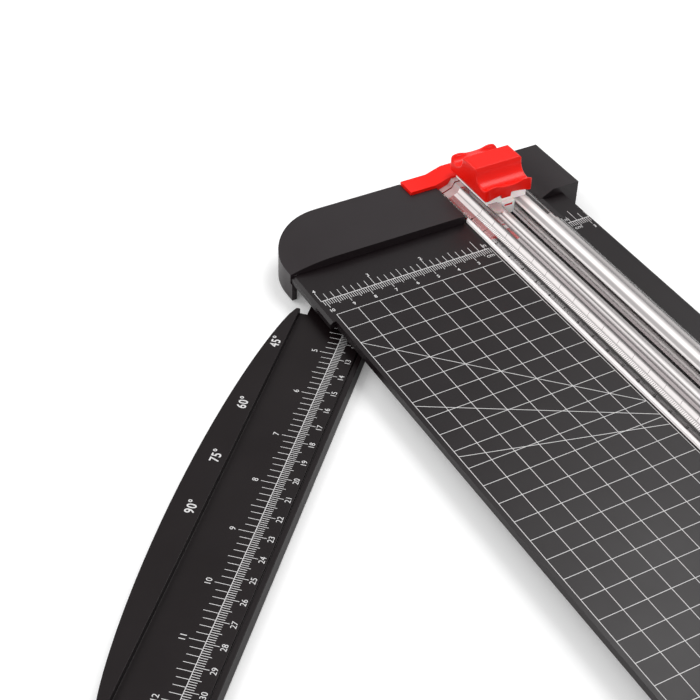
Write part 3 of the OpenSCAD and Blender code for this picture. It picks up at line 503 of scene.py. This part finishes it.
# Rail scale
# A black centimetre scale is printed on the rail's left slope. Its zero is at the fence; millimetre ticks
# stand on the upper part of the slope with the figures below them, and hairlines run on up the steep side.
SLOPE_FOOT = np.array([-18.4, 0.0, 14.6])
SLOPE_HEAD = np.array([-13.8, 0.0, 16.2])
CROWN_EDGE = np.array([-12.4, 0.0, 18.7])
TOWARDS_FOOT = (0, -1, 0)
SCALE_ZERO = 155.0
SCALE_LEN = 300
TICK_FEET = (1.35, 2.6, 3.0)
TICK_HEAD = 4.55
TICK_WIDTH = 0.16
FIGURE_ROW = 0.65
HAIR_FOOT = 0.25
HAIR_HEAD = 2.55
HAIR_WIDTH = 0.1
slope_up = (SLOPE_HEAD - SLOPE_FOOT) / np.linalg.norm(SLOPE_HEAD - SLOPE_FOOT)
side_up = (CROWN_EDGE - SLOPE_HEAD) / np.linalg.norm(CROWN_EDGE - SLOPE_HEAD)
black_ink = ink("black_rail_ink", (0.012, 0.011, 0.011))
marks_at = np.arange(0, SCALE_LEN + 1)
along_rail = marks_at - SCALE_ZERO
scale = [uprights(along_rail, graded(marks_at, 10, TICK_FEET), TICK_HEAD, TICK_WIDTH)]
for centimetres in range(0, SCALE_LEN // 10 + 1):
    middle = (10.0 * centimetres - SCALE_ZERO, FIGURE_ROW)
    scale.append(figures(str(centimetres), middle, height=1.35, weight=0.05))
printed("rail_scale_print", scale, SLOPE_FOOT, TOWARDS_FOOT, slope_up, black_ink, "rail", "clear_plastic")
hairs = [uprights(along_rail[marks_at % 10 == 0], HAIR_FOOT, HAIR_HEAD, HAIR_WIDTH)]
printed("rail_hairline_print", hairs, SLOPE_HEAD, TOWARDS_FOOT, side_up, black_ink, "rail", "clear_plastic")

# Lift end
# A red moulding plugged into the rail's head end and held by two screws. Its tab lies in a notch of the
# head cap, hollow below so that a finger lifts the rail.
carriage_red = moulded("red_plastic", (0.9, 0.007, 0.0016), gloss=0.3, grain=5000.0, depth=0.00001,
                       constants={"IOR": 1.5, "Specular IOR Level": 0.27})
softened("lift_end", "lift_end_tab", carriage_red, "rail", radius=0.0006)
softened("lift_end_screws", "lift_end_screws_turned", zinc_steel, "rail", radius=0.0002, steps=2)

# Hinge
# A dark block plugged into the rail's foot end turns on a steel pin between the foot cap's cheeks. It is
# the caps' grey plastic, and two screws hold it in the rail's hollows.
softened("hinge_block", "hinge_block_knuckle", cap_grey, "rail", radius=0.0004)
softened("hinge_block_screws", "hinge_block_screws_turned", zinc_steel, "rail",
         radius=0.0002, steps=2)
softened("hinge_pin", "hinge_pin_rod", zinc_steel, "base", radius=0.0002, steps=2)

# Slider
# The carriage's runner is a milky white moulding that slides in the rail's slot, with a shoe that rests on
# the rail and a red bar let into its front to show the cut.
CLOUD_DEEPENED = 0.9
CLOUD_GLOSS_DRIFT = 0.1


def milky(name, colour, gloss, clearness, painted_glow_strength):
    """Translucent plastic: light sinks in and comes out again nearby, some goes straight through, and
    cloudier patches show inside. A faint painted glow in its own colour brightens it where it lies in shade."""
    material, shader, wire, place = shader_of(name, {
        "IOR": 1.45, "Transmission Weight": clearness, "Subsurface Weight": 0.3, "Subsurface Scale": 0.002,
        "Emission Color": (*colour, 1.0), "Emission Strength": painted_glow_strength})
    deep = [c * CLOUD_DEEPENED for c in colour]
    cloud = mottle(wire, shader, place, scale=300.0, detail=3.0, deep=deep, pale=colour)
    (gloss + cloud * CLOUD_GLOSS_DRIFT).into(shader.inputs["Roughness"])
    return material


SHOE_RIGHT = -0.0045
SHOE_BACK = 0.1553
SHOE_TOP = 0.0202
# The runner has a faint painted glow, which lifts it where the press cap shades it; the shoe has none.
slider_milky = milky("milky_slider_plastic", (0.98, 0.93, 0.92), gloss=0.22, clearness=0.0, painted_glow_strength=0.15)
slider = softened("slider", "slider_runner", slider_milky, "carriage",
                  radius=0.00015, steps=2)
shoe_milky = milky("milky_shoe_plastic", (0.84, 0.7, 0.69), gloss=0.16, clearness=0.5, painted_glow_strength=0.0)
slider.data.materials.append(shoe_milky)
middles = face_rows(slider, "center")
shoe = (middles[:, 0] < SHOE_RIGHT) & (middles[:, 1] < SHOE_BACK) & (middles[:, 2] < SHOE_TOP)
slider.data.polygons.foreach_set("material_index", shoe.astype(np.int32))
softened("cut_mark", "cut_mark_bar", carriage_red, "carriage", radius=0.0001, steps=2)

# Press cap
# The red cap that a finger presses and pushes: a thin shell with a finger groove at each end and a hump
# between them, arched end walls, and a tongue in the front one beside its mould seam.
CAP_HALF = 11.9
CAP_FRONT = 153.5
CAP_BACK = 184.3
CAP_LOW = 22.2
CAP_HUMP = 33.7
CAP_CORNER = 1.5
CAP_EDGE = 0.9
CAP_WALL = 1.3
FINGER_R = 6.0
FINGER_IN = 4.2
FINGER_Z = 32.8
SHOULDER_X = 8.2
SHOULDER_RISE = 1.2
SHOULDER_WIDE = 3.6
SHOULDER_FADE = 3.4
ARCH_RISE = 2.2
END_NEAR = 0.5
TONGUE_LEFT = -3.8
SEAM_X = 0.7
SEAM_NEAR = 0.02
SEAM_DEEP = 0.16
EDGE_LINES = 6
INNER_X = (-10.2, -9.2, -8.2, -7.2, -6.2, -5.2, -4.4, -3.86, -3.8, -3.0, -2.0, -1.0, 0.0, 0.45,
           0.62, 0.7, 0.78, 0.95, 2.0, 3.0, 4.0, 5.0, 6.0, 7.0, 8.2, 9.2, 10.2)
INNER_MARGIN = 1.3
INNER_ROWS = 73
WALL_STEPS = np.array([0.2, 0.45, 0.7, 0.9, 1.0])
cap_middle = (CAP_FRONT + CAP_BACK) / 2
cap_length = CAP_BACK - CAP_FRONT


def cap_top(x, y):
    """Height of the cap over its plan: two round grooves across it between the ends and the hump, their
    outer rims raised towards two shoulders, each rim's rise fading out within the groove."""
    inward = np.minimum(y - CAP_FRONT, CAP_BACK - y)
    across = np.clip(inward - FINGER_IN, -FINGER_IN, FINGER_R)
    groove = FINGER_Z - np.sqrt(np.maximum(FINGER_R ** 2 - across ** 2, 0.0))
    groove = np.where(inward >= FINGER_IN + FINGER_R, CAP_HUMP, np.minimum(groove, CAP_HUMP))
    shoulder = SHOULDER_RISE * np.exp(-((np.abs(x) - SHOULDER_X) / SHOULDER_WIDE) ** 2)
    fade = np.clip(1 - inward / SHOULDER_FADE, 0, 1)
    return groove + shoulder * fade * fade * (3 - 2 * fade)


def cap_low(x, y):
    """Lower edge: level along the sides, arched in the end walls, with the tongue in the front arch."""
    arch = ARCH_RISE * np.maximum(0, 1 - (x / CAP_HALF) ** 2)
    tongue = (x >= TONGUE_LEFT) & (x <= SEAM_X) & (y < cap_middle)
    end = np.minimum(np.abs(y - CAP_FRONT), np.abs(y - CAP_BACK)) < END_NEAR
    return CAP_LOW + np.where(end & ~tongue, arch, 0.0)


def grid_faces(index):
    """Four-cornered faces between the neighbours in a grid of point numbers."""
    return np.stack([index[:-1, :-1], index[1:, :-1], index[1:, 1:], index[:-1, 1:]], axis=-1).reshape(-1, 4)


def ring_faces(rings):
    """Four-cornered faces between each closed ring of point numbers and the next one."""
    after = np.roll(rings, -1, axis=1)
    return np.stack([rings[:-1], rings[1:], after[1:], after[:-1]], axis=-1).reshape(-1, 4)


def press_shell():
    """The cap's outer skin: a grid over its plan whose corner squares are drawn into quarter rounds, at
    the top's height less a round edge near the rim, and a wall of rings from that rim to the lower edge."""
    edge = CAP_EDGE * (1 - np.cos(np.linspace(0, math.pi / 2, EDGE_LINES)))
    x = np.concatenate([-CAP_HALF + edge, INNER_X, (CAP_HALF - edge)[::-1]])
    inner_y = np.linspace(CAP_FRONT + INNER_MARGIN, CAP_BACK - INNER_MARGIN, INNER_ROWS)
    y = np.concatenate([CAP_FRONT + edge, inner_y, (CAP_BACK - edge)[::-1]])
    gx, gy = np.meshgrid(x, y - cap_middle, indexing="ij")
    over_x = np.maximum(np.abs(gx) - (CAP_HALF - CAP_CORNER), 0)
    over_y = np.maximum(np.abs(gy) - (cap_length / 2 - CAP_CORNER), 0)
    far = np.hypot(over_x, over_y)
    pull = np.where(far > 0, np.maximum(over_x, over_y) / np.maximum(far, 1e-9), 1.0)
    gx = np.sign(gx) * (np.abs(gx) - over_x + over_x * pull)
    gy = np.sign(gy) * (np.abs(gy) - over_y + over_y * pull)
    over = np.hypot(over_x * pull, over_y * pull)
    straight = np.minimum(CAP_HALF - np.abs(gx), cap_length / 2 - np.abs(gy))
    inset = np.where((over_x > 0) & (over_y > 0), CAP_CORNER - over, straight)
    round_off = np.clip(CAP_EDGE - inset, 0, CAP_EDGE)
    gy = gy + cap_middle
    gz = cap_top(gx, gy) - (CAP_EDGE - np.sqrt(np.maximum(CAP_EDGE ** 2 - round_off ** 2, 0)))
    points = np.stack([gx, gy, gz], axis=-1).reshape(-1, 3)
    index = np.arange(gx.size).reshape(gx.shape)
    rim = np.concatenate([index[:-1, 0], index[-1, :-1], index[:0:-1, -1], index[0, :0:-1]])
    foot = cap_low(points[rim, 0], points[rim, 1])
    wall = np.repeat(points[rim][None], len(WALL_STEPS), axis=0)
    wall[:, :, 2] = points[rim, 2] + WALL_STEPS[:, None] * (foot - points[rim, 2])
    seam = (np.abs(wall[:, :, 0] - SEAM_X) < SEAM_NEAR) & (wall[:, :, 1] < cap_middle)
    wall[:, :, 1] += np.where(seam, SEAM_DEEP, 0.0)
    wall_index = gx.size + np.arange(wall.shape[0] * wall.shape[1]).reshape(wall.shape[:2])
    rings = np.concatenate([rim[None], wall_index])
    faces = grid_faces(index).tolist() + ring_faces(rings).tolist()
    return np.concatenate([points, wall.reshape(-1, 3)]), faces


cap_points, cap_faces = press_shell()
press = piece("press_cap_shell", cap_points * MM, cap_faces, carriage_red, "press")
press.data.shade_smooth()
press_wall = press.modifiers.new("wall", "SOLIDIFY")
press_wall.thickness = CAP_WALL * MM
press_wall.offset = -1.0
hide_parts("press_cap")

# Blade
# Under the press cap a red holder carries the pointed steel blade on a pin; two screws hold it, and two
# coiled springs push cap and blade back up.
softened("blade_holder", "blade_holder_stem", carriage_red, "press", radius=0.0002, steps=2)
softened("holder_screws", "holder_screws_turned", zinc_steel, "press", radius=0.0002, steps=2)
softened("blade", "blade_plate", zinc_steel, "press", radius=0.00004, steps=1)
softened("blade_pin", "blade_pin_rod", zinc_steel, "press", radius=0.0001, steps=2)
SPRING_X = 4.8
SPRING_LOW = 20.6
SPRING_HIGH = 28.7
SPRING_R = 1.9
SPRING_WIRE = 0.25
SPRING_TURNS = 5.5
SPRING_STEPS = 161
FLAT_SHARE = 0.12
WIRE_SIDES = 8


def coil(x):
    """A round wire carried along a helix: the ring of the wire's section at each step stands on the
    outward and upward directions there. A share of the wire lies flat at either end."""
    turn = np.linspace(0, 1, SPRING_STEPS)
    angle = 2 * math.pi * SPRING_TURNS * turn
    climb = np.clip((turn - FLAT_SHARE) / (1 - 2 * FLAT_SHARE), 0, 1)
    middle = SPRING_LOW + SPRING_WIRE + climb * (SPRING_HIGH - SPRING_LOW - 2 * SPRING_WIRE)
    ring = np.linspace(0, 2 * math.pi, WIRE_SIDES + 1)[:-1]
    out = SPRING_R + SPRING_WIRE * np.cos(ring)[None]
    points = np.stack([x + out * np.cos(angle)[:, None], cap_middle + out * np.sin(angle)[:, None],
                       middle[:, None] + SPRING_WIRE * np.sin(ring)[None]], axis=-1)
    index = np.arange(SPRING_STEPS * WIRE_SIDES).reshape(SPRING_STEPS, WIRE_SIDES)
    ends = [index[0].tolist(), index[-1, ::-1].tolist()]
    return points.reshape(-1, 3), ring_faces(index).tolist() + ends


coil_points, coil_faces = joined([coil(-SPRING_X), coil(SPRING_X)])
springs = piece("press_spring_coils", coil_points * MM, coil_faces, zinc_steel, "carriage")
springs.data.shade_smooth()
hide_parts("press_springs")

# Ruler arm
# A black ruler with a grooved inner edge and a raised, bowed grip outside. It swings out from under the deck
# on a shoulder screw and is printed with an inch and centimetre ruler and the angle figures.
arm_black = moulded("arm_black_plastic", (0.0066, 0.0036, 0.0042), gloss=0.34, grain=5200.0, depth=0.00001,
                    constants={"IOR": 1.5, "Specular IOR Level": 0.22})
softened("ruler_arm", "ruler_arm_bar", arm_black, "arm", radius=0.0002)
PIVOT = (-90.0, 145.6)
ARM_ANGLE = math.radians(225.75)
ARM_TOP = 5.2
GRIP_TOP = 7.7
ARM_SPINE = 10.0
SPINE_START = 18.0
SPINE_WIDTH = 0.25
ARM_OFFSET = 90.0
ARM_FIRST = 20.0
ARM_LAST = 233.0
ARM_EIGHTH_LENGTHS = (5.9, 5.5, 4.5)
ARM_MM_LENGTHS = (4.9, 4.0, 3.0)
ARM_INCH_ROW = 1.9
ARM_CM_ROW = 16.5
GRIP_FIGURES = ((45, 39.1, -13.8), (60, 77.4, -14.7), (75, 107.9, -14.9), (90, 135.1, -14.7))
arm_along = (math.cos(ARM_ANGLE), math.sin(ARM_ANGLE), 0.0)
arm_across = (-math.sin(ARM_ANGLE), math.cos(ARM_ANGLE), 0.0)
arm_eighths, arm_mms = divisions(ARM_OFFSET + ARM_FIRST, ARM_OFFSET + ARM_LAST)
eighth_len = graded(arm_eighths, 8, ARM_EIGHTH_LENGTHS)
mm_len = graded(arm_mms, 10, ARM_MM_LENGTHS)
arm_rule = [
    strokes([SPINE_START, ARM_SPINE], [ARM_LAST, ARM_SPINE], SPINE_WIDTH),
    ticks(arm_eighths * INCH / 8 - ARM_OFFSET, ARM_SPINE, -eighth_len, EIGHTH_TICK),
    ticks(arm_mms - ARM_OFFSET, ARM_SPINE, mm_len, MM_TICK),
]
for inches in range(5, 13):
    middle = (INCH * inches - ARM_OFFSET, ARM_INCH_ROW)
    arm_rule.append(figures(str(inches), middle, height=2.3, turn=math.pi))
for centimetres in range(12, 33):
    middle = (10.0 * centimetres - ARM_OFFSET, ARM_CM_ROW)
    arm_rule.append(figures(str(centimetres), middle, height=2.2, turn=math.pi))
arm_face = ((*PIVOT, ARM_TOP), arm_along, arm_across)
printed("arm_ruler_print", arm_rule, *arm_face, white_ink, "arm", "deck_plastic")
grip_marks = []
for degrees, along, across in GRIP_FIGURES:
    grip_marks.append(figures(f"{degrees}°", (along, across), height=4.0, turn=math.pi,
                              weight=0.014, narrow=0.88, spread=1.1))
grip_face = ((*PIVOT, GRIP_TOP), arm_along, arm_across)
printed("arm_angle_print", grip_marks, *grip_face, white_ink, "arm", "deck_plastic")

# Arm pivot
# A zinc-plated shoulder screw under the deck carries the arm. A nylon washer beside it holds the arm by
# friction wherever it is swung to.
softened("pivot_screw", "pivot_screw_turned", zinc_steel, "base", radius=0.0002, steps=2)
nylon = moulded("natural_nylon", (0.62, 0.55, 0.38), gloss=0.45, grain=3000.0, depth=0.00002)
softened("friction_washer", "friction_washer_ring", nylon, "base", radius=0.0001, steps=2)

# Studio
# A plain pale table, an even white surround and three soft lamps; the camera stands where the photograph
# was taken from, a little above the table on the arm's side.
TABLE_FULL = 0.6
TABLE_END = 1.2
TABLE_LINES = 21
TABLE_DEEP = (0.93, 0.93, 0.93)
TABLE_PALE = (0.95, 0.95, 0.95)
TABLE_DARK = (0.0, 0.0, 0.0, 1.0)
TABLE_GLOW = (0.12, 0.12, 0.12, 1.0)
SKY_FILL = 0.5
SKY_GLOSS_CUT = 0.45


def table_top(half):
    """A flat square grid of points."""
    line = np.linspace(-half, half, TABLE_LINES)
    x, y = np.meshgrid(line, line, indexing="ij")
    index = np.arange(x.size).reshape(x.shape)
    return np.stack([x, y, 0 * x], axis=-1).reshape(-1, 3), grid_faces(index).tolist()


table_white, table_shader, table_wire, table_place = shader_of("table_white", {
    "Roughness": 0.6, "Specular IOR Level": 0.1, "Emission Strength": 1.0})
mottle(table_wire, table_shader, table_place, scale=8.0, detail=2.0, deep=TABLE_DEEP, pale=TABLE_PALE)
seen = table_wire.node("ShaderNodeLightPath", output="Is Camera Ray")
glow = table_wire.node("ShaderNodeMix", {"data_type": "RGBA"}, {0: seen, 6: TABLE_DARK, 7: TABLE_GLOW}, 2)
glow.into(table_shader.inputs["Emission Color"])
table_reach = table_wire.node("ShaderNodeVectorMath", {"operation": "LENGTH"}, {0: table_place}, "Value")
table_fade = table_wire.math("MINIMUM", (TABLE_END - table_reach) * (1 / (TABLE_END - TABLE_FULL)), 1.0)
table_wire.math("MAXIMUM", table_fade, 0.0).into(table_shader.inputs["Alpha"])
table_points, table_faces = table_top(TABLE_END)
table_mesh = bpy.data.meshes.new("table")
table_mesh.from_pydata(table_points.tolist(), [], table_faces)
table_mesh.materials.append(table_white)
table = bpy.data.objects.new("table", table_mesh)
scene.collection.objects.link(table)

surround = bpy.data.worlds.new("white_surround")
surround.use_nodes = True
scene.world = surround
sky_wire = Wire(surround.node_tree)
ray = {name: sky_wire.node("ShaderNodeLightPath", output=name)
       for name in ("Is Camera Ray", "Is Glossy Ray", "Is Transmission Ray")}
clear_view = sky_wire.math("MAXIMUM", ray["Is Camera Ray"], ray["Is Glossy Ray"])
clear_view = sky_wire.math("MAXIMUM", clear_view, ray["Is Transmission Ray"])
backdrop = surround.node_tree.nodes["Background"]
backdrop.inputs["Color"].default_value = (1.0, 1.0, 1.0, 1.0)
sky_light = SKY_FILL + clear_view * (1 - SKY_FILL) - ray["Is Glossy Ray"] * SKY_GLOSS_CUT
sky_light.into(backdrop.inputs["Strength"])


def soft_lamp(name, at, toward, width, height, watts):
    """A rectangular soft box at a place, turned so that its face looks toward a point. It is not seen
    through clear plastic, where its reflections off inner walls would only speckle."""
    lamp = bpy.data.lights.new(name, "AREA")
    lamp.shape = "RECTANGLE"
    lamp.size = width
    lamp.size_y = height
    lamp.energy = watts
    holder = bpy.data.objects.new(name, lamp)
    aim = np.asarray(toward, float) - np.asarray(at, float)
    aim = aim / np.linalg.norm(aim)
    side = np.cross(aim, (0.0, 0.0, 1.0))
    side = side / np.linalg.norm(side)
    turned = np.eye(4)
    turned[:3, :3] = np.column_stack([side, np.cross(side, aim), -aim])
    turned[:3, 3] = at
    holder.matrix_world = Matrix(turned.tolist())
    holder.visible_transmission = False
    scene.collection.objects.link(holder)


soft_lamp("left_box", at=(-0.75, 0.95, 0.95), toward=(-0.05, 0.1, 0.0), width=1.0, height=0.8, watts=6.5)
soft_lamp("top_box", at=(0.55, 0.32, 1.1), toward=(0.0, 0.1, 0.0), width=0.7, height=0.7, watts=7.5)
soft_lamp("front_box", at=(-0.85, -0.45, 0.5), toward=(0.0, 0.1, 0.0), width=0.8, height=0.6, watts=3.2)

lens = bpy.data.cameras.new("photo_camera")
lens.sensor_width = 36.0
lens.lens = 80.59
lens.clip_start = 0.01
camera = bpy.data.objects.new("photo_camera", lens)
camera.location = (-0.341303, -0.304852, 0.407318)
camera.rotation_euler = (0.873615, -0.023390, -0.502433)
scene.collection.objects.link(camera)
scene.camera = camera
